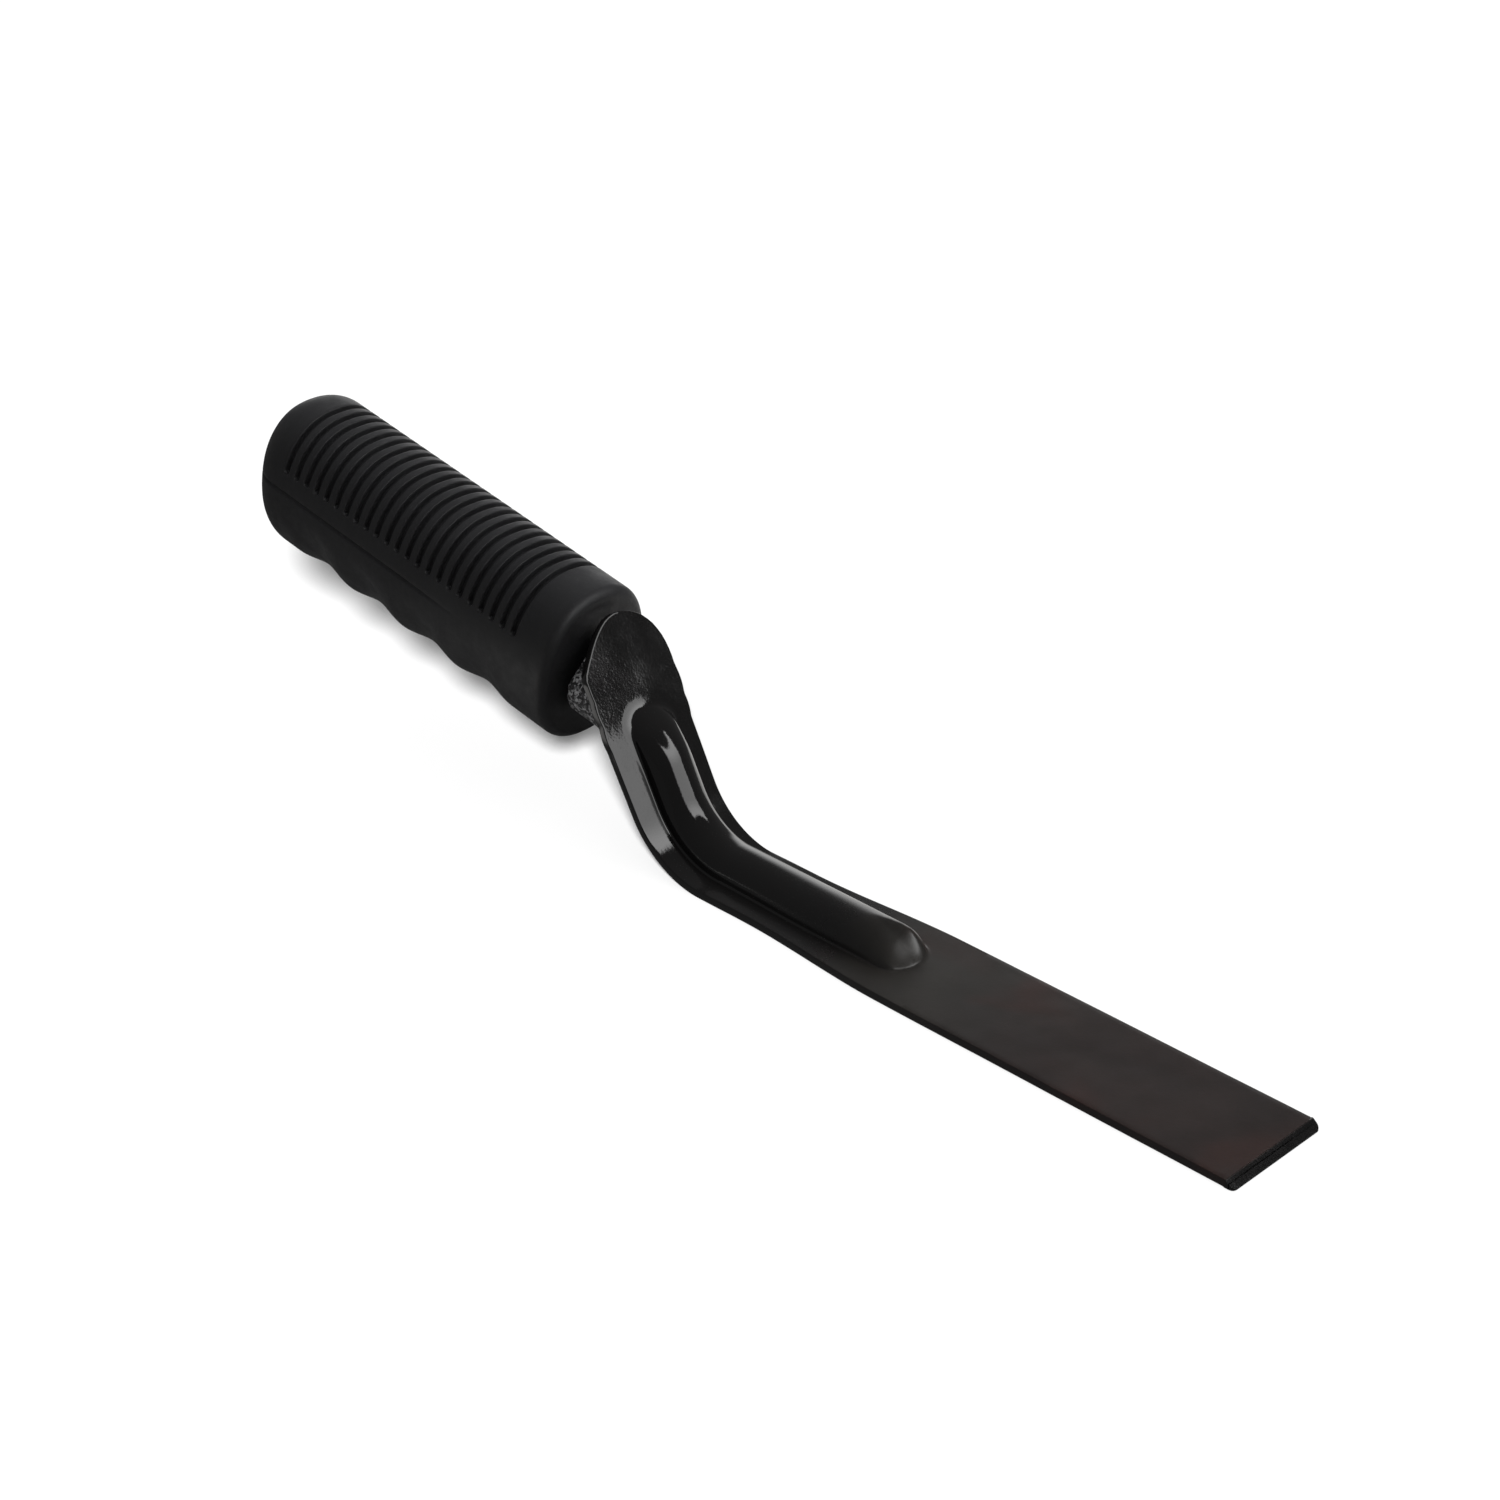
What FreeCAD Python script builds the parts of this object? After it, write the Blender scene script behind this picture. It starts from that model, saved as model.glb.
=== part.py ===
import FreeCAD, Part
import os
from math import asin, atan2, copysign, cos, pi, radians, sin, sqrt
from FreeCAD import Vector

os.makedirs("parts", exist_ok=True)

# A short cranked hand hoe: one strap of pressed steel, sharpened at its free end,
# bent up at the heel into a tongue and stiffened there by a hollow rib. A round steel
# tang is welded to the back of the tongue and is moulded into a one-piece grip.
#
# Frame: +X towards the cutting edge, +Z up, Y = 0 is the plane of symmetry.
# Z = 0 is the flat underside of the blade, which is the face the tool rests on.
# The origin is the middle of the parallel stretch of that face.

# ---- driving dimensions, mm and degrees ----
sheet = 2.0                  # thickness of the steel strap
blade_width = 30.0           # parallel stretch of the blade, at the cutting edge
neck_width = 24.8            # strap at the heel
parallel_length = 98.0       # cutting edge to where the blade starts to narrow
taper_length = 44.0          # stretch over which it narrows to the neck
heel_length = 14.4           # neck width, from the end of the taper to the bend
bevel_length = 2.1           # ground bevel on the upper side of the cutting edge
edge_land = 0.35             # thickness left at the cutting edge
corner_radius = 1.8          # rounded corners of the cutting edge

tongue_lean = 61.0           # angle that the bend turns the strap through
bend_radius = 23.0           # inner radius of the bend
tongue_length = 33.9         # end of the bend to the centre of the round head
head_radius = 13.2           # round head of the tongue

rib_radius = 7.4             # outer radius of the rounded rib
rib_height = 6.8             # how far the rib stands above the strap
rib_front = 7.6              # centre of the rib's front end, behind the end of the taper's start
rib_top = 16.2               # centre of the rib's upper end, above the end of the bend

tang_diameter = 12.0
tang_seat = 27.5             # end of the bend to the tang's centre, along the tongue
end_wall = 32.5              # solid plastic behind the end of the tang
tang_chamfer = 1.5
keyway_width = 5.0           # ring grooves that lock the moulded grip on the tang
keyway_depth = 1.0
keyway_pitch = 20.0
keyway_start = 20.0          # grip's front face to the centre of the first ring groove
keyway_end = 15.0            # least distance from the last ring groove's centre to the tang's end

weld_margin = 1.6            # the weld stays this far inside the edge of the round head
weld_gap = 1.8               # the weld ends this far in front of the grip
weld_round = 3.5             # rounded shoulder of the weld

grip_tilt = 10.2             # slope of the grip, rising to the rear
head_clearance = 0.6         # free space between the head of the tongue and the grip
grip_length = 112.5
grip_width = 33.5
grip_height = 41.5
section_power = 2.25         # exponent of the grip's rounded section: 2 is an ellipse
front_round = 3.0
rear_round = 10.0

groove_pitch = 3.87          # grooves across the top of the grip
groove_width = 1.5
groove_depth = 1.0
groove_start = 12.6          # grip's front face to the centre of the first groove
groove_end = 14.5            # least distance from the last groove's centre to the grip's rear
groove_floor = 7.8           # height above the grip's axis at which the grooves end

finger_count = 4             # finger hollows along the underside of the grip
finger_start = 25.0          # grip's front face to the centre of the first hollow
finger_end = 26.3            # centre of the last hollow to the grip's rear
finger_depth = 1.4
finger_radius = 26.0

# ---- places worked out from them ----
along_y = Vector(0, 1, 0)
edge_x = parallel_length / 2
taper_x = edge_x - parallel_length
neck_x = taper_x - taper_length
bend_x = neck_x - heel_length
bend_centre = Vector(bend_x, 0, sheet + bend_radius)
outer_radius = bend_radius + sheet

lean = radians(tongue_lean)
up_tongue = Vector(-cos(lean), 0, sin(lean))
tongue_front = Vector(sin(lean), 0, cos(lean))
tongue_foot = bend_centre - tongue_front * outer_radius      # on the back face, at the end of the bend

tilt = radians(grip_tilt)
rearward = Vector(-cos(tilt), 0, sin(tilt))
grip_up = Vector(sin(tilt), 0, cos(tilt))
tang_root = tongue_foot + up_tongue * tang_seat              # tang's axis on the back of the tongue
head_reach = (tongue_length + head_radius - tang_seat) * cos(lean - tilt)
grip_front = head_reach + head_clearance                     # along the tang's axis, from its root
tang_depth = grip_length - end_wall                          # length of the tang inside the grip
keyway_count = int((tang_depth - keyway_start - keyway_end) / keyway_pitch) + 1
groove_count = int((grip_length - groove_start - groove_end) / groove_pitch) + 1
finger_pitch = (grip_length - finger_start - finger_end) / (finger_count - 1)
reach = 400.0                # longer than the whole tool, for the shapes that only cut


def on_tongue(distance, side):
    """Point on the back face of the tongue, above the end of the bend."""
    return tongue_foot + up_tongue * distance + along_y * side


def on_axis(distance):
    """Point on the axis of the tang and grip, behind the tongue."""
    return tang_root + rearward * distance


def prism(points, thickness):
    """Closed outline of straight edges, given a thickness."""
    return Part.Face(Part.makePolygon(points + [points[0]])).extrude(thickness)


def blade_plate():
    """Flat part of the strap: parallel, then an S-curve of two equal arcs to the neck."""
    half_blade = blade_width / 2
    half_neck = neck_width / 2
    step = half_blade - half_neck
    middle_x = taper_x - taper_length / 2
    curve = (taper_length ** 2 + step ** 2) / (4 * step)
    swing = asin(taper_length / 2 / curve) / 2
    rise = curve * (1 - cos(swing))
    run = curve * sin(swing)
    edges = []
    for side in (1, -1):
        start = Vector(edge_x, side * half_blade, 0)
        shoulder = Vector(taper_x, side * half_blade, 0)
        first = Vector(taper_x - run, side * (half_blade - rise), 0)
        middle = Vector(middle_x, side * (half_blade + half_neck) / 2, 0)
        second = Vector(neck_x + run, side * (half_neck + rise), 0)
        waist = Vector(neck_x, side * half_neck, 0)
        heel = Vector(bend_x, side * half_neck, 0)
        edges += [Part.LineSegment(start, shoulder).toShape(), Part.Arc(shoulder, first, middle).toShape(),
                  Part.Arc(middle, second, waist).toShape(), Part.LineSegment(waist, heel).toShape()]
    edges.append(Part.makeLine(Vector(edge_x, -half_blade, 0), Vector(edge_x, half_blade, 0)))
    edges.append(Part.makeLine(Vector(bend_x, -half_neck, 0), Vector(bend_x, half_neck, 0)))
    plate = Part.Face(Part.Wire(Part.__sortEdges__(edges))).extrude(Vector(0, 0, sheet))
    corners = [edge for edge in plate.Edges
               if abs(edge.CenterOfMass.x - edge_x) < 1e-6 and abs(edge.CenterOfMass.z - sheet / 2) < 1e-6]
    plate = plate.makeFillet(corner_radius, corners)
    side = Vector(0, blade_width, 0)
    bevel = prism([Vector(edge_x - bevel_length, -blade_width, sheet),
                   Vector(edge_x, -blade_width, edge_land),
                   Vector(edge_x + sheet, -blade_width, edge_land),
                   Vector(edge_x + sheet, -blade_width, sheet)], side * 2)
    return plate.cut(bevel)


def tongue_plate():
    """Flat tongue that widens to its round head: two straight sides tangent to the head."""
    half_neck = neck_width / 2
    span = sqrt(tongue_length ** 2 + half_neck ** 2)
    slope = atan2(-half_neck, tongue_length) + asin(head_radius / span)
    run = sqrt(span ** 2 - head_radius ** 2)
    touch = run * cos(slope)
    width = half_neck + run * sin(slope)
    edges = [Part.makeLine(on_tongue(0, -half_neck), on_tongue(0, half_neck)),
             Part.makeLine(on_tongue(0, half_neck), on_tongue(touch, width)),
             Part.Arc(on_tongue(touch, width), on_tongue(tongue_length + head_radius, 0),
                      on_tongue(touch, -width)).toShape(),
             Part.makeLine(on_tongue(touch, -width), on_tongue(0, -half_neck))]
    return Part.Face(Part.Wire(edges)).extrude(tongue_front * sheet)


def front_side():
    """All the space above the blade's underside and in front of the tongue's back face."""
    corner = Vector(reach, 0, reach)
    ground = Vector(reach, 0, 0)
    heel = Vector(bend_x, 0, 0)
    middle = bend_centre - Vector(sin(lean / 2), 0, cos(lean / 2)) * outer_radius
    top = on_tongue(reach, 0)
    edges = [Part.makeLine(ground, heel), Part.Arc(heel, middle, tongue_foot).toShape(),
             Part.makeLine(tongue_foot, top), Part.makeLine(top, corner), Part.makeLine(corner, ground)]
    face = Part.Face(Part.Wire(edges))
    face.translate(along_y * -reach)
    return face.extrude(along_y * 2 * reach)


def turn_sector(half_width):
    """Wedge of the bend, from the blade's plane to the tongue's, wide enough for the strap and rib."""
    side = 2 * outer_radius
    corner = bend_centre - along_y * half_width
    return prism([corner, corner - Vector(0, 0, side), corner - (Vector(0, 0, 1) + tongue_front) * side,
                  corner - tongue_front * side], along_y * 2 * half_width)


def bend():
    """Turn of the strap between the flat blade and the tongue."""
    start = bend_centre - along_y * neck_width / 2
    outer = Part.makeCylinder(outer_radius, neck_width, start, along_y)
    inner = Part.makeCylinder(bend_radius, neck_width, start, along_y)
    return outer.cut(inner).common(turn_sector(neck_width))


def rib_bar(radius):
    """Round bar along the strap and through the bend, with a ball at each end."""
    depth = rib_radius - rib_height                          # bar's axis, below the upper face
    turn = bend_radius + depth
    front_end = Vector(taper_x - rib_front, 0, sheet - depth)
    heel = Vector(bend_x, 0, sheet - depth)
    foot = bend_centre - tongue_front * turn
    bar = Part.makeCylinder(radius, front_end.x - heel.x, heel, Vector(1, 0, 0))
    bar = bar.fuse(Part.makeCylinder(radius, rib_top, foot, up_tongue))
    bar = bar.fuse(Part.makeSphere(radius, front_end))
    bar = bar.fuse(Part.makeSphere(radius, foot + up_tongue * rib_top))
    ring = Part.makeTorus(turn, radius, bend_centre, along_y)
    return bar.fuse(ring.common(turn_sector(neck_width)))


def blade():
    """The whole pressed strap, with its rib raised on the upper side and hollow below."""
    strap = blade_plate().fuse(bend()).fuse(tongue_plate())
    rib = rib_bar(rib_radius).common(front_side())
    return strap.fuse(rib).cut(rib_bar(rib_radius - sheet)).removeSplitter()


def tang():
    """Round bar, cut to the lean of the tongue in front, with ring grooves inside the grip."""
    radius = tang_diameter / 2
    lead = tang_diameter
    bar = Part.makeCylinder(radius, lead + grip_front + tang_depth, on_axis(-lead), rearward)
    rear_edge = max(bar.Edges, key=lambda edge: (edge.CenterOfMass - tang_root).dot(rearward))
    bar = bar.makeChamfer(tang_chamfer, [rear_edge])
    for number in range(keyway_count):
        middle = grip_front + keyway_start + number * keyway_pitch
        start = on_axis(middle - keyway_width / 2)
        sleeve = Part.makeCylinder(2 * radius, keyway_width, start, rearward)
        core = Part.makeCylinder(radius - keyway_depth, keyway_width, start, rearward)
        bar = bar.cut(sleeve.cut(core))
    return bar.cut(front_side())


def weld_bead():
    """Weld metal round the tang, from the back of the tongue almost to the grip."""
    radius = head_radius - weld_margin
    lead = 2 * radius
    bead = Part.makeCylinder(radius, lead + grip_front - weld_gap, on_axis(-lead), rearward)
    rear_edge = max(bead.Edges, key=lambda edge: (edge.CenterOfMass - tang_root).dot(rearward))
    bead = bead.makeFillet(weld_round, [rear_edge])
    return bead.cut(front_side()).cut(tang())


def section(half_width, half_height, distance):
    """Closed rounded section of the grip, square to its axis."""
    steps = 24
    points = []
    for number in range(steps):
        angle = 2 * pi * number / steps
        across = copysign(abs(cos(angle)) ** (2 / section_power), cos(angle))
        rise = copysign(abs(sin(angle)) ** (2 / section_power), sin(angle))
        points.append(on_axis(distance) + along_y * half_width * across + grip_up * half_height * rise)
    curve = Part.BSplineCurve()
    curve.interpolate(Points=points, PeriodicFlag=True)
    return Part.Wire(curve.toShape())


def groove_cutters():
    """One cutter for each groove over the top of the grip."""
    half_width = grip_width / 2
    half_height = grip_height / 2
    cutters = []
    for number in range(groove_count):
        start = grip_front + groove_start + number * groove_pitch - groove_width / 2
        floor = Part.Face(section(half_width - groove_depth, half_height - groove_depth, start))
        centre = on_axis(start)
        roof = prism([centre + grip_up * groove_floor - along_y * grip_width,
                      centre + grip_up * groove_floor + along_y * grip_width,
                      centre + grip_up * grip_height + along_y * grip_width,
                      centre + grip_up * grip_height - along_y * grip_width], rearward * groove_width)
        cutters.append(roof.cut(floor.extrude(rearward * groove_width)))
    return cutters


def grip():
    """Moulded grip: rounded section, domed rear, grooved top, finger hollows underneath."""
    half_height = grip_height / 2
    body = Part.Face(section(grip_width / 2, half_height, grip_front)).extrude(rearward * grip_length)
    for position, radius in ((0, front_round), (grip_length, rear_round)):
        place = on_axis(grip_front + position)
        rim = min(body.Edges, key=lambda edge: (edge.CenterOfMass - place).Length)
        body = body.makeFillet(radius, [rim])
    corner = on_axis(grip_front) - along_y * grip_height
    lower_half = prism([corner, corner + along_y * 2 * grip_height,
                        corner + along_y * 2 * grip_height - grip_up * grip_height,
                        corner - grip_up * grip_height], rearward * grip_length)
    for number in range(finger_count):
        middle = on_axis(grip_front + finger_start + number * finger_pitch)
        hollow = Part.makeTorus(half_height - finger_depth + finger_radius, finger_radius, middle, rearward)
        body = body.cut(hollow.common(lower_half))
    body = body.cut(Part.makeCompound(groove_cutters()))
    return body.cut(tang())


for name, shape in (("blade", blade()), ("tang", tang()), ("weld_bead", weld_bead()), ("grip", grip())):
    print(name, "valid", shape.isValid(), "solids", len(shape.Solids), "volume", round(shape.Volume, 1))
    shape.exportStep("parts/" + name + ".step")
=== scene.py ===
from math import atan2, cos, pi, radians, sin, sqrt

import bmesh
import bpy
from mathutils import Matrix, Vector, noise


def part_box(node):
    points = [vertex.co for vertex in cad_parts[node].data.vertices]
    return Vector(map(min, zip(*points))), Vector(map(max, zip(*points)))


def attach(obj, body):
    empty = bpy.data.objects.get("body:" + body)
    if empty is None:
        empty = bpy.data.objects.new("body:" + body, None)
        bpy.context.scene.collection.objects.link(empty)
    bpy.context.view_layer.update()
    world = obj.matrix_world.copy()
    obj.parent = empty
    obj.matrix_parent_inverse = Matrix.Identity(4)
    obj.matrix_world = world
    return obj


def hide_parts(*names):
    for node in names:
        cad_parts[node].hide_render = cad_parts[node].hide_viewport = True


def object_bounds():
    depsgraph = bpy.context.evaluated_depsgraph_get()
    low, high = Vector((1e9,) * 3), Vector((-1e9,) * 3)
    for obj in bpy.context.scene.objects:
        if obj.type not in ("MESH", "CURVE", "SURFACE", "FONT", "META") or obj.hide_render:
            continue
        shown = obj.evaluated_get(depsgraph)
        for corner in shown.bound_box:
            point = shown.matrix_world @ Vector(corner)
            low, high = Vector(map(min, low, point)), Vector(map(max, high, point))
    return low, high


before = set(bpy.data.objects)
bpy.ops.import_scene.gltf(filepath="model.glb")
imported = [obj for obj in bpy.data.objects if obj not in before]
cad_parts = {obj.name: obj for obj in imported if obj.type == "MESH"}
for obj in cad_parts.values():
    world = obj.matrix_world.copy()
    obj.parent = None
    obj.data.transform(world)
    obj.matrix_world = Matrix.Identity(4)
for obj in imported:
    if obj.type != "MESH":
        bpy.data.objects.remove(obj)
cad_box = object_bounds()

# ---- blade ----
# One strap of pressed sheet steel: a flat blade with a ground cutting edge, a bend at the heel and a
# leaf-shaped tongue, stiffened by a hollow rib pressed up from behind. Sheared edges, gloss black
# enamel that went on thick (orange peel) and is duller and browner on the flat of the blade.
mm = 0.001
sheet = 2.0
half_blade = 15.0
half_neck = 12.4
neck_flare = 0.6                # gained on each side from the neck to the rib's upper end
taper_start = 98.0              # lengths along the strap run from the cutting edge
taper_end = 142.0
bend_start = 156.4
bend_radius = 23.0              # inner radius, which the upper face follows
lean = radians(61.0)
tongue_start = bend_start + bend_radius * lean
grind_length = 2.1
edge_land = 0.35
corner_radius = 1.2
rib_radius = 7.4
rib_sink = 0.6                  # axis of the rounded rib, below the upper face
rib_front = 106.0
rib_on_tongue = 16.2            # centre of the rib's upper end, above the end of the bend
rib_top = tongue_start + rib_on_tongue
inner_radius = rib_radius - sheet
hollow_round = sheet - rib_sink # round where the hollow of the rib meets the underside
side_fillet = 0.55              # fillet at the foot of the rib, along its sides
top_fillet = 3.6                # what the upper end and the front end add to it
nose_fillet = 0.9
near_squeeze = 0.06             # share that the rib lost on the near side, and what its upper part adds
upper_squeeze = 0.09
nose_squeeze = 0.13             # share that it lost in length in front
nose_lift = 0.12                # height at the tip of its front end, as a share of the full rib
nose_ahead = 9.0                # the ramp there starts this far ahead of the end's centre
nose_run = 16.5
far_nose_cut = 6.0              # the ramp is shorter by this on the far side
top_fall = 0.92                 # share of the height that is gone at the upper end
top_fall_ahead = 8.0
top_fall_run = 21.0
rim_support = 0.55              # ring just inside the rounded rim
rim_round = 0.42
rim_slack = 0.05                # an edge this close to the outline is on the rim
sway_height = 0.10              # unevenness left by the press: slow and quick waves
ripple_height = 0.022
draw_back = 0.030               # fall of the flanges beside the rib, for each mm of width
draw_back_from = 7.0
crease_angle = 34

cutting_edge_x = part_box("blade")[1].x / mm
bend_centre = Vector((cutting_edge_x - bend_start, 0, sheet + bend_radius))
tongue_front = Vector((sin(lean), 0, cos(lean)))
up_tongue = Vector((-cos(lean), 0, sin(lean)))

# sheared outline of the tongue: distance above the end of the bend, and side. One shoulder is cut
# back further than the other, with a corner where the cut starts.
head_outline = [(rib_on_tongue, 13.0), (22.1, 13.3), (29.4, 13.6), (33.3, 13.7), (36.8, 13.2), (40.4, 11.8),
                (43.2, 9.7), (45.2, 6.9), (46.3, 3.6), (46.4, 0.9), (45.5, -1.9), (43.8, -4.5),
                (41.6, -7.0), (39.1, -9.3), (36.6, -11.5), (35.2, -12.6), (34.2, -12.9), (32.3, -12.9),
                (28.9, -12.8), (22.6, -12.9), (rib_on_tongue, -12.9)]
head_polar = [(atan2(up - rib_on_tongue, side), sqrt((up - rib_on_tongue) ** 2 + side ** 2))
              for up, side in head_outline]


def head_reach(angle):
    """Distance from the centre of the rib's upper end to the outline of the tongue."""
    for (low, near), (high, far) in zip(head_polar, head_polar[1:]):
        if low - 1e-9 <= angle <= high + 1e-9:
            return near + (far - near) * (angle - low) / (high - low)
    return head_polar[-1][1]


def smooth(value):
    """Eases from 0 to 1 as the value does."""
    value = max(0.0, min(1.0, value))
    return value * value * (3 - 2 * value)


def strap_half_width(along):
    """Half the width of the strap: rounded corners, parallel, S-curve to the neck, and a slight flare."""
    if along < corner_radius:
        return half_blade - corner_radius + sqrt(corner_radius ** 2 - (corner_radius - along) ** 2)
    width = half_blade - (half_blade - half_neck) * smooth((along - taper_start) / (taper_end - taper_start))
    return width + neck_flare * smooth((along - bend_start) / (rib_top - bend_start))


def ground_face(along):
    """Height of the upper face: zero, then down the grind to the land of the cutting edge."""
    return -(sheet - edge_land) * max(0.0, 1 - along / grind_length)


cap_steps = 56
arc_steps = 20
fillet_steps = 5
front_steps = 26                # rows up to the bend, round it, and on the tongue
bend_steps = 34
top_steps = 10
rib_rows = [rib_front + (bend_start - rib_front) * step / front_steps for step in range(front_steps)]
rib_rows += [bend_start + (tongue_start - bend_start) * step / bend_steps for step in range(bend_steps)]
rib_rows += [tongue_start + (rib_top - tongue_start) * step / top_steps for step in range(top_steps + 1)]
front_line = rib_front - half_blade                # where the rings round the rib meet the plain blade

# stations round the rib, each a place along its spine and a direction: one side, the upper end, the
# other side and the front end
cap_angles = [pi * step / cap_steps for step in range(1, cap_steps)]
stations = [(along, 0.0, 1.0) for along in rib_rows]
stations += [(rib_top, sin(angle), cos(angle)) for angle in cap_angles]
stations += [(along, 0.0, -1.0) for along in reversed(rib_rows)]
stations += [(rib_front, -sin(angle), -cos(angle)) for angle in cap_angles]


def station_reach(along, forward, sideways):
    """Distance from the spine of the rib to the edge of the strap, or to the front line."""
    if forward > 0:
        return head_reach(atan2(forward, sideways))
    if forward == 0:
        return strap_half_width(along)
    reach = min(half_blade / max(abs(sideways), 1e-6), half_blade / abs(forward))
    if abs(sideways) > abs(forward) + 1e-6:
        for _ in range(4):
            reach = strap_half_width(along + forward * reach) / abs(sideways)
    return reach


def rib_fillet(along, forward):
    """Crisp along the sides of the rib, softer in front, and softest round its upper end."""
    at_top = top_fillet * smooth((along - tongue_start - 6) / 10) * smooth(0.25 + forward)
    return side_fillet + at_top + nose_fillet * smooth(-forward)


def rib_squeeze(along, forward, sideways):
    """Shares that the press left of the rib's length in front, and of its width on the near side."""
    near_loss = (near_squeeze + upper_squeeze * smooth((along - 125) / 30)) * smooth(-1.4 * sideways)
    return 1 - nose_squeeze * smooth(-forward), 1 - near_loss


def rib_rise(along, across):
    """Share of the rib's full height: it ramps down at both ends, faster on the far side in front."""
    run = nose_run - far_nose_cut * smooth(across / 5.0)
    nose = nose_lift + (1 - nose_lift) * smooth((along - rib_front + nose_ahead) / run)
    return nose * (1 - top_fall * smooth((along - rib_top + top_fall_ahead) / top_fall_run))


def ring_point(station, ring):
    """Upper and under place of one ring vertex, in the flat strap: along, across, up."""
    along, forward, sideways = station
    fillet = rib_fillet(along, forward)
    foot = sqrt((rib_radius + fillet) ** 2 - (fillet + rib_sink) ** 2)
    foot_angle = atan2(fillet + rib_sink, foot)
    squeezed = 1.0                                 # the squeeze of the rib fades out over the flange
    if ring <= arc_steps:
        angle = pi / 2 - (pi / 2 - foot_angle) * ring / arc_steps
        upper = (rib_radius * cos(angle), rib_radius * sin(angle) - rib_sink)
        angle = pi / 2 * (1 - ring / arc_steps)
        under = (inner_radius * cos(angle), inner_radius * sin(angle) - rib_sink)
    elif ring <= arc_steps + fillet_steps:
        part = (ring - arc_steps) / fillet_steps
        angle = pi + foot_angle + (pi / 2 - foot_angle) * part
        upper = (foot + fillet * cos(angle), fillet + fillet * sin(angle))
        angle = pi / 2 * part
        under = (inner_radius + hollow_round * (1 - cos(angle)), -rib_sink - hollow_round * sin(angle))
    else:
        part = flange_parts[ring - arc_steps - fillet_steps - 1]
        squeezed = max(0.0, 1 - part)
        edge = station_reach(along, forward, sideways)
        upper, under = (edge, 0.0), (edge, -sheet)
        if part <= 1:
            inner = edge - (rim_support if forward >= 0 else rim_support * abs(sideways))
            start = inner_radius + hollow_round
            upper = (foot + (inner - foot) * part, 0.0)
            under = (start + (inner - start) * part, -sheet)
    shorter, narrower = rib_squeeze(along, forward, sideways)
    places = []
    for (reach, height), face in ((upper, 0.0), (under, -sheet)):
        ahead = along + forward * reach * (1 - squeezed * (1 - shorter))
        height = face + (height - face) * rib_rise(ahead, sideways * reach)
        places.append(Vector((ahead, sideways * reach * (1 - squeezed * (1 - narrower)), height)))
    return places


# rings over the flange, as shares of the way out to the rim's support, and one on the edge itself
flange_parts = [0.08, 0.25, 0.5, 0.75, 1.0, 2.0]
ring_count = arc_steps + fillet_steps + len(flange_parts)
strap = bmesh.new()
under_layers = [strap.verts.layers.float.new(name) for name in ("under_x", "under_y", "under_z")]


def set_place(vert, upper, under):
    """Puts a vertex in its upper place, and notes the place under it."""
    vert.co = upper
    for layer, value in zip(under_layers, under):
        vert[layer] = value


def extruded(mesh, edges, verts):
    """Extrudes a run of edges, and gives the new vertex of each old one."""
    made = bmesh.ops.extrude_edge_only(mesh, edges=edges)["geom"]
    fresh = {item for item in made if isinstance(item, bmesh.types.BMVert)}
    return [next(edge.other_vert(vert) for edge in vert.link_edges if edge.other_vert(vert) in fresh)
            for vert in verts]


def run_edges(mesh, verts, closed=True):
    """Edges that join a list of vertices in order."""
    ends = verts[1:] + verts[:1] if closed else verts[1:]
    return [mesh.edges.get((first, second)) for first, second in zip(verts, ends)]


ring = bmesh.ops.create_circle(strap, segments=len(stations), radius=1.0, cap_ends=False)["verts"]
for vert, station in zip(ring, stations):
    set_place(vert, *ring_point(station, 0))
for number in range(1, ring_count + 1):
    ring = extruded(strap, run_edges(strap, ring), ring)
    for vert, station in zip(ring, stations):
        set_place(vert, *ring_point(station, number))

# the plain flat of the blade, pulled forward from the front line to the cutting edge
row = [vert for vert, station in zip(ring, stations)
       if station[1] < 0 and abs(station[2]) <= abs(station[1]) + 1e-6]
across = [vert.co.y / half_blade for vert in row]
blade_rows = [front_line - 1.6 * step for step in range(1, 54)]
blade_rows += [3.7, 3.1, 2.6, grind_length, corner_radius, 1.4, 1.0, 0.65, 0.35, 0.12, 0.0]
for along in blade_rows:
    row = extruded(strap, run_edges(strap, row, closed=False), row)
    for number, vert in enumerate(row):
        side = across[number] * strap_half_width(along)
        set_place(vert, (along, side, ground_face(along)), (along, side, -sheet))
bmesh.ops.remove_doubles(strap, verts=strap.verts[:], dist=1e-5)

# underside: the same sheet again, joined to the upper side round the sheared edge
upper_faces = strap.faces[:]
rim_edges = [edge for edge in strap.edges if edge.is_boundary]
copied = bmesh.ops.duplicate(strap, geom=strap.verts[:] + strap.edges[:] + upper_faces)
under_faces = [item for item in copied["geom"] if isinstance(item, bmesh.types.BMFace)]
rim_made = bmesh.ops.extrude_edge_only(strap, edges=rim_edges)["geom"]
under_verts = {item for item in copied["geom"] + rim_made if isinstance(item, bmesh.types.BMVert)}
for vert in under_verts:
    vert.co = [vert[layer] for layer in under_layers]
bmesh.ops.remove_doubles(strap, verts=list(under_verts), dist=1e-4)
for layer in ("under_x", "under_y", "under_z"):
    strap.verts.layers.float.remove(strap.verts.layers.float[layer])
bmesh.ops.recalc_face_normals(strap, faces=strap.faces[:])


def sheared_corner(edge):
    """True for an edge of the strap's upper or under corner, behind the ground cutting edge."""
    steep = [abs(face.normal.z) < 0.5 for face in edge.link_faces]
    heights = [vert.co.z for vert in edge.verts]
    on_face = min(min(abs(height), abs(height + sheet)) for height in heights) < 1e-3
    return sum(steep) == 1 and on_face and min(vert.co.x for vert in edge.verts) > grind_length + 0.1


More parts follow.
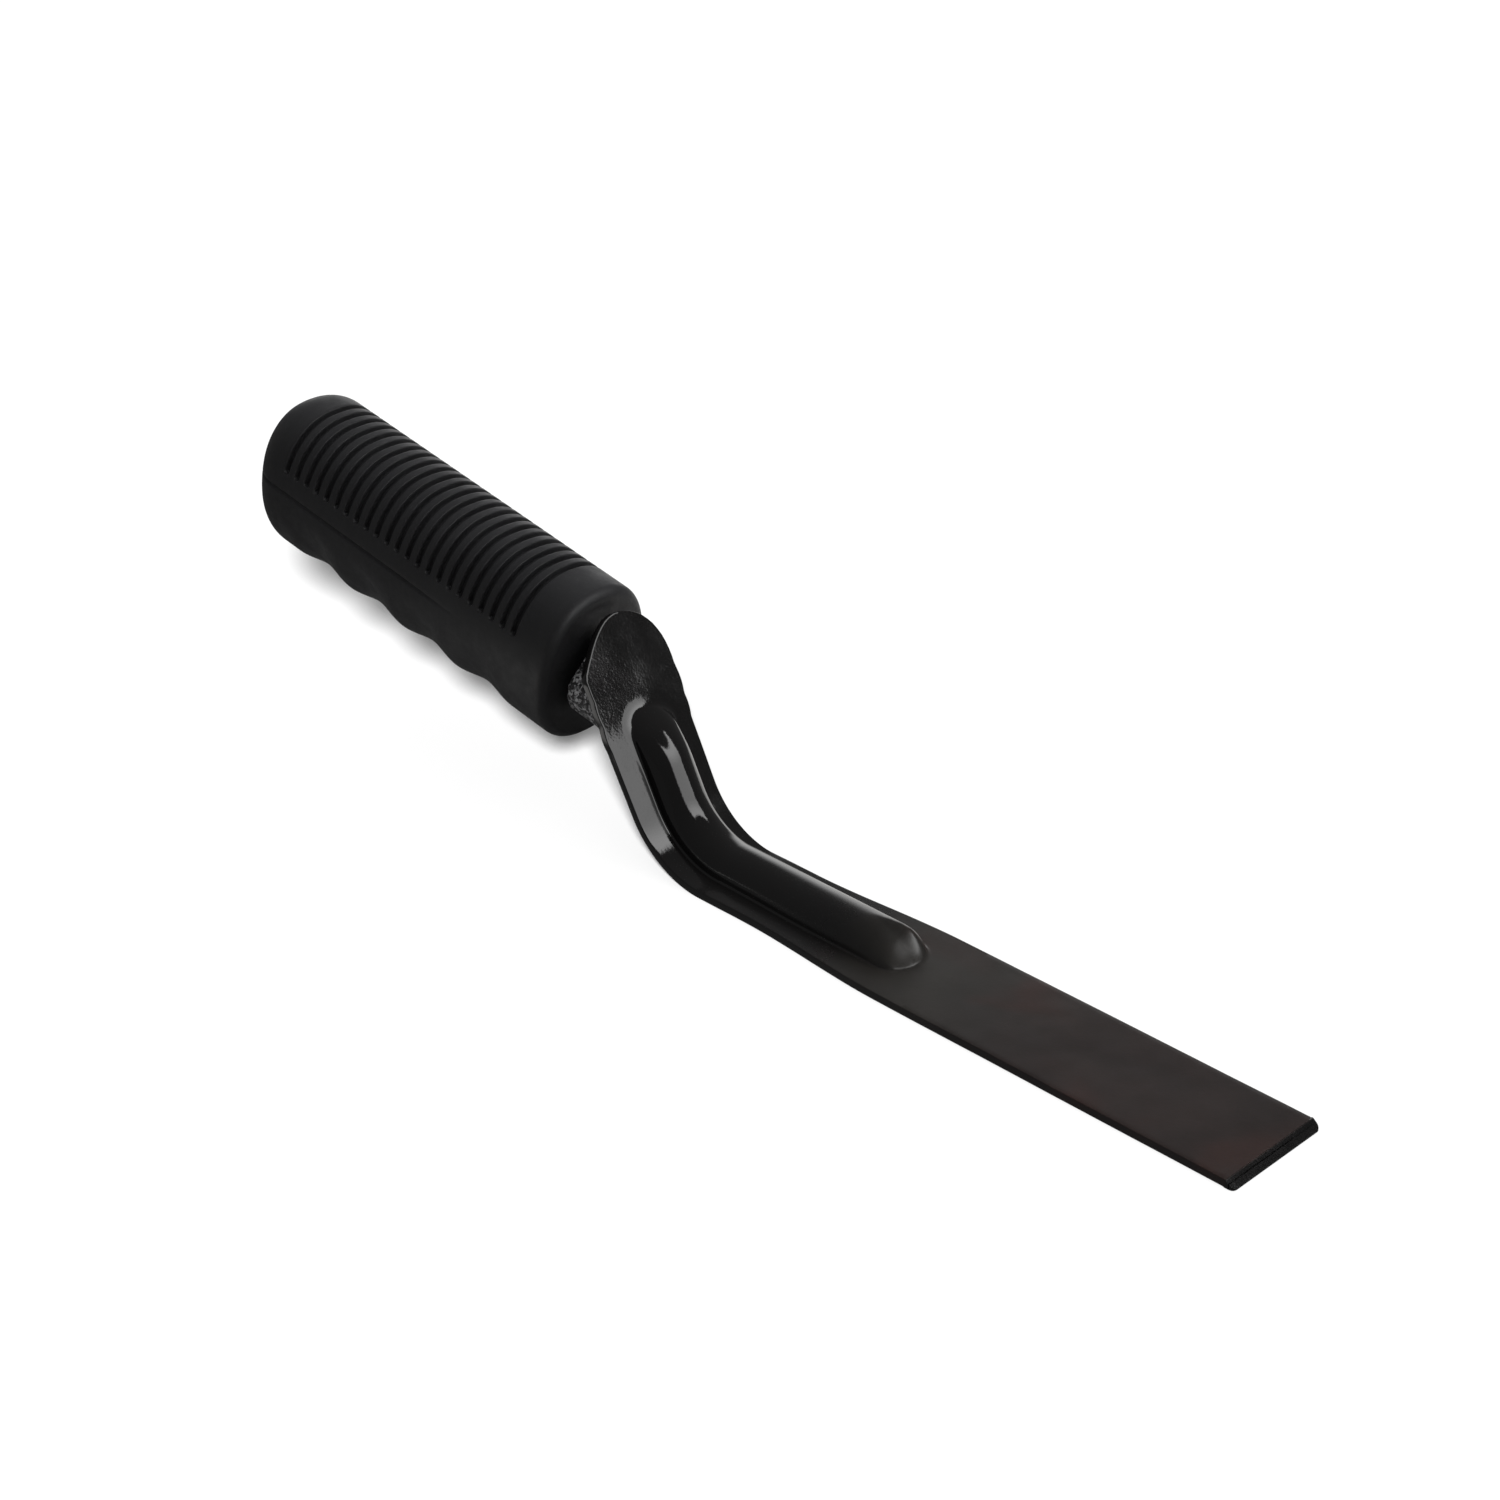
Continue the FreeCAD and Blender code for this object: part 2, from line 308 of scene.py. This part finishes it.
def on_rim(vert):
    """True where a vertex lies on the sheared edge of the strap."""
    along, side = vert.co.x, abs(vert.co.y)
    if along > rib_top:
        offset = atan2(along - rib_top, vert.co.y)
        return sqrt((along - rib_top) ** 2 + side ** 2) > head_reach(offset) - rim_slack
    return side > strap_half_width(along) - rim_slack


corner_edges = [edge for edge in strap.edges
                if sheared_corner(edge) and all(on_rim(vert) for vert in edge.verts)]
bmesh.ops.bevel(strap, geom=corner_edges, offset=rim_round, offset_type="OFFSET", segments=4, profile=0.5,
                affect="EDGES", clamp_overlap=True, material=-1)

# slight hammering and spring-back left by the press, then the strap is bent round its heel
for vert in strap.verts:
    along, side, height = vert.co
    sway = noise.noise(Vector((along * 0.035, side * 0.05, 3.1))) * sway_height
    ripple = noise.noise(Vector((along * 0.16, side * 0.16, 8.4))) * ripple_height
    height += (sway + ripple) * smooth(along / 12)
    beside_rib = smooth((along - bend_start + 12) / 16) * (1 - smooth((along - rib_top + 1) / 8))
    height -= draw_back * max(0.0, abs(side) - draw_back_from) * beside_rib
    if along <= bend_start:
        place = Vector((cutting_edge_x - along, side, height + sheet))
    elif along <= tongue_start:
        turn = (along - bend_start) / bend_radius
        place = bend_centre - Vector((sin(turn), 0, cos(turn))) * (bend_radius - height)
    else:
        place = bend_centre + up_tongue * (along - tongue_start) - tongue_front * (bend_radius - height)
    place.y = side
    place.z = max(0.0, place.z)                    # nothing is lower than the surface it lies on
    vert.co = place * mm


def smoothed(mesh, crease=None):
    """Turns the faces outwards and shades them smooth, but for edges that fold by more than the crease."""
    bmesh.ops.recalc_face_normals(mesh, faces=mesh.faces[:])
    for face in mesh.faces:
        face.smooth = True
    for edge in mesh.edges if crease else ():
        if len(edge.link_faces) == 2 and edge.calc_face_angle() > radians(crease):
            edge.smooth = False


smoothed(strap, crease_angle)


def finished(mesh, name, material):
    """Makes the piece from its mesh, with its finish."""
    data = bpy.data.meshes.new(name)
    mesh.to_mesh(data)
    mesh.free()
    data.materials.append(material)
    piece = bpy.data.objects.new(name, data)
    bpy.context.scene.collection.objects.link(piece)
    return piece


class Finish:
    """A node material that reads Object coordinates, with short names for the nodes used here."""

    def __init__(self, name):
        self.material = bpy.data.materials.new(name)
        self.material.use_nodes = True
        self.nodes = self.material.node_tree.nodes
        self.links = self.material.node_tree.links
        self.shader = self.nodes["Principled BSDF"]
        self.place = self.nodes.new("ShaderNodeTexCoord").outputs["Object"]

    def join(self, source, target):
        self.links.new(source, target)

    def noise(self, scale, detail=2.0, roughness=0.5, distortion=0.0):
        node = self.nodes.new("ShaderNodeTexNoise")
        node.inputs["Scale"].default_value = scale
        node.inputs["Detail"].default_value = detail
        node.inputs["Roughness"].default_value = roughness
        node.inputs["Distortion"].default_value = distortion
        self.join(self.place, node.inputs["Vector"])
        return node.outputs["Fac"]

    def axis(self, name):
        node = self.nodes.new("ShaderNodeSeparateXYZ")
        self.join(self.place, node.inputs["Vector"])
        return node.outputs[name]

    def spread(self, source, low, high, to_low=0.0, to_high=1.0):
        node = self.nodes.new("ShaderNodeMapRange")
        node.interpolation_type = "SMOOTHSTEP"
        for name, value in (("From Min", low), ("From Max", high), ("To Min", to_low), ("To Max", to_high)):
            node.inputs[name].default_value = value
        self.join(source, node.inputs["Value"])
        return node.outputs["Result"]

    def maths(self, operation, first, second):
        node = self.nodes.new("ShaderNodeMath")
        node.operation = operation
        for number, value in enumerate((first, second)):
            if isinstance(value, (int, float)):
                node.inputs[number].default_value = value
            else:
                self.join(value, node.inputs[number])
        return node.outputs["Value"]

    def blend(self, factor, first, second):
        node = self.nodes.new("ShaderNodeMix")
        node.data_type = "RGBA"
        self.join(factor, node.inputs["Factor"])
        for number, value in ((6, first), (7, second)):
            if isinstance(value, tuple):
                node.inputs[number].default_value = (*value, 1.0)
            else:
                self.join(value, node.inputs[number])
        return node.outputs[2]

    def bump(self, height, distance, strength, under=None):
        node = self.nodes.new("ShaderNodeBump")
        node.inputs["Distance"].default_value = distance
        node.inputs["Strength"].default_value = strength
        self.join(height, node.inputs["Height"])
        if under is not None:
            self.join(under, node.inputs["Normal"])
        return node.outputs["Normal"]


gloss_black = (0.0050, 0.0047, 0.0047)
edge_black = (0.0030, 0.0028, 0.0028)
dark_back, dark_front = (0.0116, 0.0104, 0.0092), (0.0098, 0.0062, 0.0057)    # flat of the blade
pale_back, pale_front = (0.0162, 0.0146, 0.0128), (0.0150, 0.0095, 0.0086)
rust_brown = (0.0200, 0.0095, 0.0080)

enamel = Finish("gloss_black_enamel")
from_heel = enamel.axis("X")
flat_of_blade = enamel.spread(from_heel, -0.074, -0.050)
ground = enamel.spread(from_heel, 0.0465, 0.0472)
mottle = enamel.spread(enamel.noise(55.0, 3.0, 0.6), 0.35, 0.7)
browner = enamel.spread(from_heel, -0.050, -0.005)
dark_flat = enamel.blend(browner, dark_back, dark_front)
pale_flat = enamel.blend(browner, pale_back, pale_front)
flat_colour = enamel.blend(mottle, dark_flat, pale_flat)
rust_patch = enamel.spread(enamel.noise(34.0, 2.0, 0.5, 0.4), 0.52, 0.72)
flat_colour = enamel.blend(rust_patch, flat_colour, rust_brown)
colour = enamel.blend(flat_of_blade, gloss_black, flat_colour)
colour = enamel.blend(ground, colour, edge_black)
enamel.join(colour, enamel.shader.inputs["Base Color"])
haze = enamel.spread(enamel.noise(160.0, 4.0, 0.65), 0.3, 0.75, 0.0, 0.04)
roughness = enamel.spread(from_heel, -0.118, -0.060, 0.06, 0.28)
roughness = enamel.maths("SUBTRACT", roughness, enamel.spread(ground, 0.0, 1.0, 0.0, 0.20))
enamel.join(enamel.maths("ADD", roughness, haze), enamel.shader.inputs["Roughness"])
enamel.shader.inputs["IOR"].default_value = 1.5
peel = enamel.bump(enamel.noise(520.0, 2.0, 0.45), 0.00002, 0.55)
fine_peel = enamel.bump(enamel.noise(1700.0, 1.0, 0.5), 0.000012, 0.8, peel)
dents = enamel.maths("MULTIPLY", enamel.noise(170.0, 0.0, 0.4), flat_of_blade)
dented = enamel.bump(dents, 0.00014, 0.35, fine_peel)
enamel.join(dented, enamel.shader.inputs["Normal"])

blade_piece = finished(strap, "pressed_blade", enamel.material)
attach(blade_piece, "root")
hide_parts("blade")

# ---- weld bead ----
# A rough lump of weld metal laid round the tang against the back of the tongue. It stops just short of
# the grip. Spattered, scarred, and only thinly covered by the black enamel.
grip_tilt = radians(10.2)
rearward = Vector((-cos(grip_tilt), 0, sin(grip_tilt)))
grip_up = Vector((sin(grip_tilt), 0, cos(grip_tilt)))
tongue_length = 33.9            # end of the bend to the centre of the round head
head_radius = 13.2
head_clearance = 0.6            # free space between the head of the tongue and the grip
tang_seat = 27.5                # end of the bend to the tang's centre, along the tongue
tang_radius = 6.0
tongue_back = bend_centre - tongue_front * (bend_radius + sheet)
tang_root = tongue_back + up_tongue * tang_seat
grip_front = (tongue_length + head_radius - tang_seat) * cos(lean - grip_tilt) + head_clearance
weld_radius = 11.6
weld_top_cut = 3.9              # the bead is thinner by this on top
weld_end = grip_front - 1.9
weld_floor = 0.2                # least metal left over the tang
lump_limit = 0.35
weld_steps = 120

# rings of the weld, each a share of its length and an inset: sides, rounded shoulder and end face
shoulder_start = 0.88
shoulder_inset = 3.2
weld_rings = [(part, 0.0) for part in (0.0, 0.08, 0.2, 0.35, 0.5, 0.65, 0.78, shoulder_start)]
for step in range(1, 8):
    turn = pi / 2 * step / 7
    weld_rings.append((shoulder_start + (1 - shoulder_start) * sin(turn), shoulder_inset * (1 - cos(turn))))
weld_rings += [(1.0, inset) for inset in (4.2, 5.2)]


def spoke(angle):
    """Unit vector out from the axis of the tang."""
    return Vector((0, cos(angle), 0)) + grip_up * sin(angle)


def tongue_shelf(outward):
    """Distance back to the tongue, along the tang, for each millimetre out from its axis."""
    return -outward.dot(tongue_front) / rearward.dot(tongue_front)


def weld_place(angle, part, inset):
    """Place on the weld: part is 0 on the back of the tongue and 1 at the grip end."""
    outward = spoke(angle)
    lumps = noise.noise(Vector((cos(angle) * 2.2, sin(angle) * 2.2, part * 2.0 + 5.0))) * 0.9
    lumps += noise.noise(Vector((cos(angle) * 6.5, sin(angle) * 6.5, part * 5.0))) * 0.4
    radius = weld_radius - weld_top_cut * smooth((sin(angle) + 0.25) / 0.9)
    radius += min(lumps, lump_limit) * min(1.0, part * 8 + 0.3) * (1 if inset < 4 else 0.4)
    radius -= inset * (radius - tang_radius - weld_floor) / (weld_radius - tang_radius - weld_floor)
    start = radius * tongue_shelf(outward)
    along = start + (weld_end - start) * part + 0.25 * lumps * (part > 0.9)
    return tang_root + outward * radius + rearward * along


def weld_bore_place(angle, part):
    """Place on the tang's surface, inside the weld, with part as above."""
    outward = spoke(angle)
    start = tongue_shelf(outward) * tang_radius
    return tang_root + outward * tang_radius + rearward * (start + (weld_end - start) * part)


weld = bmesh.new()
ring = bmesh.ops.create_circle(weld, segments=weld_steps, radius=1.0, cap_ends=False)["verts"]
first_ring = ring
angles = [2 * pi * step / weld_steps for step in range(weld_steps)]
for vert, angle in zip(ring, angles):
    vert.co = weld_place(angle, 0.0, 0.0)
for part, inset in weld_rings[1:]:
    ring = extruded(weld, run_edges(weld, ring), ring)
    for vert, angle in zip(ring, angles):
        vert.co = weld_place(angle, part, inset)
for part in (1.0, 0.5, 0.0):
    ring = extruded(weld, run_edges(weld, ring), ring)
    for vert, angle in zip(ring, angles):
        vert.co = weld_bore_place(angle, part)
bmesh.ops.bridge_loops(weld, edges=run_edges(weld, ring) + run_edges(weld, first_ring))
bmesh.ops.scale(weld, vec=(mm, mm, mm), verts=weld.verts[:])
smoothed(weld)

weld_finish = Finish("scarred_weld_enamel")
scars = weld_finish.noise(900.0, 6.0, 0.7, 0.6)
bare = weld_finish.spread(scars, 0.48, 0.60)
weld_colour = weld_finish.blend(bare, (0.014, 0.014, 0.015), (0.50, 0.50, 0.51))
weld_finish.join(weld_colour, weld_finish.shader.inputs["Base Color"])
weld_finish.join(weld_finish.spread(scars, 0.35, 0.7, 0.28, 0.5), weld_finish.shader.inputs["Roughness"])
weld_rough = weld_finish.bump(weld_finish.noise(420.0, 5.0, 0.65), 0.0012, 1.0)
weld_finish.join(weld_finish.bump(scars, 0.0001, 0.7, weld_rough), weld_finish.shader.inputs["Normal"])

weld_piece = finished(weld, "rough_weld", weld_finish.material)
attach(weld_piece, "root")
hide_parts("weld_bead")

# ---- tang ----
# Round steel bar from the back of the tongue into the grip. Only the short length between the weld and
# the grip shows. It keeps its CAD shape and takes a thin, slightly uneven black enamel.
tang_finish = Finish("thin_black_enamel")
tang_noise = tang_finish.noise(300.0, 4.0, 0.6)
thin_enamel = tang_finish.spread(tang_noise, 0.4, 0.7)
tang_colour = tang_finish.blend(thin_enamel, (0.006, 0.006, 0.0065), (0.02, 0.02, 0.021))
tang_finish.join(tang_colour, tang_finish.shader.inputs["Base Color"])
tang_roughness = tang_finish.spread(tang_noise, 0.3, 0.7, 0.22, 0.42)
tang_finish.join(tang_roughness, tang_finish.shader.inputs["Roughness"])
tang_finish.join(tang_finish.bump(tang_noise, 0.00004, 0.5), tang_finish.shader.inputs["Normal"])
tang_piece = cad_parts["tang"]
tang_piece.data.materials.clear()
tang_piece.data.materials.append(tang_finish.material)

# ---- grip ----
# One moulding in charcoal plastic with a fine matt mould texture: an oval section with a rounded rear,
# grooves across the top and four finger hollows below. A fine line shows where the mould halves met.
grip_length = 112.5
grip_half_width = 16.75
grip_half_height = 20.75
section_power = 2.25
front_round = 2.4
rear_round = 10.0
groove_pitch = 3.87
groove_start = 12.6
groove_count = 23
groove_half = 0.88
groove_depth = 1.4
groove_wall = 0.14              # half the run-out of a groove's side
groove_end = 8.5                # height of the centre of a groove's rounded end
finger_start = 25.0
finger_pitch = 20.4
finger_count = 4
finger_depth = 1.4
finger_fullness = 0.85          # below 1 the hollows are broader than a cosine wave
parting_height = 2.4
parting_depth = 0.38
bore_depth = 80.0
grip_root = tang_root + rearward * grip_front


def groove_cut(along, height):
    """Depth of the grooves: rounded ends, steep walls."""
    nearest = round((along - groove_start) / groove_pitch)
    nearest = max(0, min(groove_count - 1, nearest))
    off = abs(along - groove_start - nearest * groove_pitch)
    below = max(0.0, groove_end - height)
    reach = sqrt(off * off + below * below)
    return groove_depth * smooth((groove_half + groove_wall - reach) / (2 * groove_wall))


def finger_cut(along, height):
    """Depth of the finger hollows: full underneath, fading out up the sides."""
    depth = 0.0
    for number in range(finger_count):
        off = abs(along - finger_start - number * finger_pitch) / (finger_pitch / 2)
        if off < 1:
            depth = finger_depth * (0.5 + 0.5 * cos(pi * off)) ** finger_fullness
    return depth * smooth((-height - 1.0) / 9.0)


def parting_cut(along, height):
    """Fine line along the sides, fading out towards the front."""
    off = abs(height - parting_height)
    return parting_depth * smooth((0.5 - off) / 0.4) * smooth((along - 28) / 26)


def grip_place(along, angle):
    """Place on the grip's surface: an oval section, cut by the grooves, the fingers and the mould line."""
    sine, cosine = sin(angle), cos(angle)
    across = abs(cosine) ** (2 / section_power) * (1 if cosine >= 0 else -1)
    rise = abs(sine) ** (2 / section_power) * (1 if sine >= 0 else -1)
    height = grip_half_height * rise
    inset = groove_cut(along, height) + finger_cut(along, height) + parting_cut(along, height)
    if along < front_round:
        inset += front_round - sqrt(max(0.0, front_round ** 2 - (front_round - along) ** 2))
    if along > grip_length - rear_round:
        inset += rear_round - sqrt(max(0.0, rear_round ** 2 - (along - grip_length + rear_round) ** 2))
    side = Vector((0, 1, 0)) * across * (grip_half_width - inset)
    return grip_root + rearward * along + side + grip_up * rise * (grip_half_height - inset)


# degrees round one quarter of the section, closer where the mould line and the grooves' ends run
quarter = [0.0, 2.2, 3.9, 4.4, 4.75, 5.05, 5.35, 5.7, 6.3, 8.5, 11.5, 14.5, 16.5]
quarter += [17.4 + 0.55 * step for step in range(13)]
quarter += [25.5 + 2.9 * step for step in range(22)]
quarter = [angle for angle in quarter if angle < 89.5]
grip_angles = quarter + [90.0] + [180.0 - angle for angle in reversed(quarter)]
grip_angles += [180.0 + 2.8 * step for step in range(1, 64)]
grip_angles = [radians(angle) for angle in grip_angles]

# rows along the grip: front edge, each groove and the ridge behind it, and the rounded rear
wall_rows = [groove_half + off for off in (0.17, 0.11, 0.05, -0.01, -0.07, -0.15, -0.45)]
ridge_row = 1.4
grip_rows = [front_round * (1 - cos(pi / 2 * step / 7)) for step in range(1, 8)]
grip_rows += [4.0, 6.0, 8.0, 10.0, 11.4]
for number in range(groove_count):
    groove = groove_start + number * groove_pitch
    grip_rows += [groove - off for off in wall_rows] + [groove]
    grip_rows += [groove + off for off in reversed(wall_rows)]
    if number < groove_count - 1:
        grip_rows += [groove + ridge_row, groove + groove_pitch / 2, groove + groove_pitch - ridge_row]
last_row = groove_start + (groove_count - 1) * groove_pitch + 2.0
while last_row < grip_length - rear_round:
    grip_rows.append(last_row)
    last_row += 1.5
grip_rows += [grip_length - rear_round + rear_round * sin(pi / 2 * step / 16) for step in range(17)]

moulding = bmesh.new()
ring = bmesh.ops.create_circle(moulding, segments=len(grip_angles), radius=1.0, cap_ends=False)["verts"]
front_ring = ring
for vert, angle in zip(ring, grip_angles):
    vert.co = grip_place(0.0, angle)
for along in grip_rows:
    ring = extruded(moulding, run_edges(moulding, ring), ring)
    for vert, angle in zip(ring, grip_angles):
        vert.co = grip_place(along, angle)
rear_centre = grip_root + rearward * grip_length
rear_edge = [vert.co.copy() for vert in ring]
for share in (0.85, 0.6, 0.35, 0.12, 0.0):
    ring = extruded(moulding, run_edges(moulding, ring), ring)
    for vert, place in zip(ring, rear_edge):
        vert.co = rear_centre + (place - rear_centre) * share
# front face, then the bore that was moulded round the tang
ring = front_ring
face_edge = [vert.co.copy() for vert in ring]
for share in (0.02, 0.3, 0.7, 0.96, 1.0):
    ring = extruded(moulding, run_edges(moulding, ring), ring)
    for vert, place, angle in zip(ring, face_edge, grip_angles):
        bore = grip_root + spoke(angle) * tang_radius
        vert.co = place + (bore - place) * share
for depth in (bore_depth / 2, bore_depth):
    ring = extruded(moulding, run_edges(moulding, ring), ring)
    for vert, angle in zip(ring, grip_angles):
        vert.co = grip_root + spoke(angle) * tang_radius + rearward * depth
ring = extruded(moulding, run_edges(moulding, ring), ring)
for vert in ring:
    vert.co = grip_root + rearward * bore_depth
bmesh.ops.remove_doubles(moulding, verts=moulding.verts[:], dist=1e-4)
bmesh.ops.scale(moulding, vec=(mm, mm, mm), verts=moulding.verts[:])
smoothed(moulding, 60)

plastic = Finish("matt_charcoal_plastic")
cloud = plastic.spread(plastic.noise(45.0, 3.0, 0.55), 0.3, 0.7)
grain = plastic.noise(2600.0, 2.0, 0.5)
plastic_colour = plastic.blend(cloud, (0.0150, 0.0150, 0.0160), (0.0190, 0.0190, 0.0202))
pale_grain = plastic.spread(grain, 0.55, 0.8, 0.0, 0.35)
plastic_colour = plastic.blend(pale_grain, plastic_colour, (0.030, 0.030, 0.032))
plastic.join(plastic_colour, plastic.shader.inputs["Base Color"])
plastic_roughness = plastic.spread(plastic.noise(300.0, 3.0, 0.6), 0.3, 0.7, 0.46, 0.58)
plastic.join(plastic_roughness, plastic.shader.inputs["Roughness"])
plastic.shader.inputs["Specular IOR Level"].default_value = 0.28
coarse = plastic.bump(plastic.noise(1150.0, 3.0, 0.6), 0.00006, 0.5)
plastic.join(plastic.bump(grain, 0.00003, 0.6, coarse), plastic.shader.inputs["Normal"])

grip_piece = finished(moulding, "grooved_grip", plastic.material)
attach(grip_piece, "root")
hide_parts("grip")

# ---- floor ----
# Studio floor, just clear of the flat of the blade that lies on it. The camera sees it plain white.
# Its colour for reflections is painted: dim, but for painted pools of light in a wedge behind the rib
# and in a spot beside the head, which the enamel mirrors.
floor_gap = 0.00015
back_azimuth = 134.0            # degrees round from +X to the pale panel behind the tool
wedge_start = (-0.045, -0.006, 0.0)
wedge_half, wedge_fade = 14, 24
spot_centre = (-0.20, -0.085, 0.0)
spot_full, spot_fade = 0.025, 0.055
# painted shade and painted light: the floor's colour in reflections, dim, and white in the painted pools of
# light
dim_paper, lit_paper = (0.13, 0.13, 0.13), (1.0, 0.99, 0.97)

floor_mesh = bmesh.new()
bmesh.ops.create_grid(floor_mesh, x_segments=8, y_segments=8, size=6.0)
bmesh.ops.translate(floor_mesh, vec=(0, 0, -floor_gap), verts=floor_mesh.verts[:])
paper = Finish("white_paper")


def floor_vector(operation, source, other=None, output="Vector"):
    node = paper.nodes.new("ShaderNodeVectorMath")
    node.operation = operation
    paper.join(source, node.inputs[0])
    if other is not None:
        node.inputs[1].default_value = other
    return node.outputs[output]


way_back = (cos(radians(back_azimuth)), sin(radians(back_azimuth)), 0.0)
# painted pool of light: a wedge of the floor fanning out from the rib towards the panel behind the tool
from_rib = floor_vector("NORMALIZE", floor_vector("SUBTRACT", paper.place, wedge_start))
towards_back = floor_vector("DOT_PRODUCT", from_rib, way_back, "Value")
wedge = paper.spread(towards_back, cos(radians(wedge_fade)), cos(radians(wedge_half)))
# painted pool of light: a round spot of the floor beside the head
beside_head = floor_vector("DISTANCE", paper.place, spot_centre, "Value")
spot = paper.spread(beside_head, spot_fade, spot_full)
# painted reflection: the dim floor with its white painted pools of light, for every ray but the camera's
mirrored = paper.blend(paper.maths("MAXIMUM", wedge, spot), dim_paper, lit_paper)
paper_tone = paper.blend(paper.noise(2.0, 2.0), (0.90, 0.90, 0.90), (0.92, 0.92, 0.92))
seen = paper.nodes.new("ShaderNodeLightPath").outputs["Is Camera Ray"]
paper.join(paper.blend(seen, mirrored, paper_tone), paper.shader.inputs["Base Color"])
paper.shader.inputs["Roughness"].default_value = 0.9
paper.shader.inputs["Specular IOR Level"].default_value = 0.0
floor = finished(floor_mesh, "studio_floor", paper.material)

# ---- lights ----
# A soft light above and behind lights the tool alone, and a low lamp from the camera's side lights the
# floor alone and casts the shadow. Neither shows in the enamel. What it mirrors is the room: dim, with
# a tall soft light beyond the cutting edge and a pale panel low down behind the tool.
tool_middle = (cad_box[0] + cad_box[1]) / 2


def lamp(name, kind, azimuth, elevation, distance, power, receivers):
    """A lamp aimed at the tool, which lights only the receivers and isn't mirrored."""
    light = bpy.data.lights.new(name, kind)
    light.energy = power
    lit = bpy.data.objects.new(name, light)
    bpy.context.scene.collection.objects.link(lit)
    round_by, up_by = radians(azimuth), radians(elevation)
    way_out = Vector((cos(round_by) * cos(up_by), sin(round_by) * cos(up_by), sin(up_by)))
    lit.location = tool_middle + way_out * distance
    lit.rotation_euler = (tool_middle - lit.location).to_track_quat("-Z", "Y").to_euler()
    lit.visible_glossy = False
    lit_pieces = bpy.data.collections.new("lit_by_" + name)
    for piece in receivers:
        lit_pieces.objects.link(piece)
    lit.light_linking.receiver_collection = lit_pieces
    return lit


tool = (blade_piece, weld_piece, tang_piece, grip_piece)
key = lamp("key_softbox", "AREA", 105.0, 62.0, 1.2, 19.0, tool)
key.data.shape = "RECTANGLE"
key.data.size = 1.3
key.data.size_y = 0.9
fill = lamp("front_fill", "SUN", -43.0, 33.5, 2.0, 5.0, (floor,))
fill.data.angle = radians(8)

room = bpy.data.worlds.new("studio_room")
bpy.context.scene.world = room
room.use_nodes = True
room_nodes, room_links = room.node_tree.nodes, room.node_tree.links
way = room_nodes.new("ShaderNodeSeparateXYZ")
room_links.new(room_nodes.new("ShaderNodeTexCoord").outputs["Generated"], way.inputs[0])


def room_maths(operation, *inputs):
    """A sum on the room's numbers, each a socket or a plain number."""
    node = room_nodes.new("ShaderNodeMath")
    node.operation = operation
    for number, value in enumerate(inputs):
        if isinstance(value, float):
            node.inputs[number].default_value = value
        else:
            room_links.new(value, node.inputs[number])
    return node.outputs["Value"]


def room_mask(value, low, high):
    """Fades from 0 to 1 as the value goes from low to high."""
    node = room_nodes.new("ShaderNodeMapRange")
    node.interpolation_type = "SMOOTHSTEP"
    room_links.new(value, node.inputs["Value"])
    node.inputs["From Min"].default_value = low
    node.inputs["From Max"].default_value = high
    return node.outputs["Result"]


# the soft light and the panel, in degrees round from +X and up from the floor. The soft light's left
# side slants away above slant_from.
left_edge, left_fade = 37.2, 0.4
slant_from, slant = 19.0, 0.82
right_edge, bottom_edge, top_edge = (-28.0, -22.0), (6.0, 10.0), (52.0, 48.0)
soft_strength, soft_gain, soft_gain_over = 3.0, 2.0, (22.0, 46.0)
panel_strength, panel_side, panel_top = 1.45, (24.0, 14.0), (33.0, 10.0)
room_in_gloss = 0.14
room_on_matt = 0.32

azimuth_way = room_maths("MULTIPLY", room_maths("ARCTAN2", way.outputs["Y"], way.outputs["X"]), 180 / pi)
height_way = room_maths("MULTIPLY", room_maths("ARCSINE", way.outputs["Z"]), 180 / pi)
above_slant = room_maths("MAXIMUM", room_maths("SUBTRACT", height_way, slant_from), 0.0)
left_side = room_maths("MULTIPLY_ADD", above_slant, slant, left_edge)
soft_mask = room_mask(room_maths("SUBTRACT", left_side, azimuth_way), -left_fade, left_fade)
for value, fade in ((azimuth_way, right_edge), (height_way, bottom_edge), (height_way, top_edge)):
    soft_mask = room_maths("MULTIPLY", soft_mask, room_mask(value, *fade))
brightness = room_maths("MULTIPLY_ADD", room_mask(height_way, *soft_gain_over), soft_gain, soft_strength)
soft_light = room_maths("MULTIPLY", soft_mask, brightness)
off_back = room_maths("ABSOLUTE", room_maths("SUBTRACT", azimuth_way, back_azimuth))
panel = room_maths("MULTIPLY", room_mask(off_back, *panel_side), room_mask(height_way, *panel_top))
behind = room_maths("MULTIPLY_ADD", panel, panel_strength, room_in_gloss)
seen_in_gloss = room_maths("ADD", soft_light, behind)
path = room_nodes.new("ShaderNodeLightPath")
glossy_part = room_maths("MULTIPLY", seen_in_gloss, path.outputs["Is Glossy Ray"])
matt_part = room_maths("MULTIPLY", path.outputs["Is Diffuse Ray"], room_on_matt)
strength = room_maths("ADD", room_maths("ADD", glossy_part, matt_part), path.outputs["Is Camera Ray"])
room_links.new(strength, room_nodes["Background"].inputs["Strength"])
room_nodes["Background"].inputs["Color"].default_value = (1.0, 1.0, 1.0, 1.0)

# ---- camera ----
# Long lens, looking down at the near side from beyond the cutting edge.
camera = bpy.data.objects.new("camera", bpy.data.cameras.new("camera"))
bpy.context.scene.collection.objects.link(camera)
camera.location = (0.34242, -0.45261, 0.39576)
camera.rotation_euler = (radians(60.5126), 0.0, radians(44.5544))
camera.data.lens = 76.445
camera.data.sensor_width = 36.0
camera.data.clip_start = 0.01
bpy.context.scene.camera = camera
bpy.context.scene.view_settings.view_transform = "Standard"
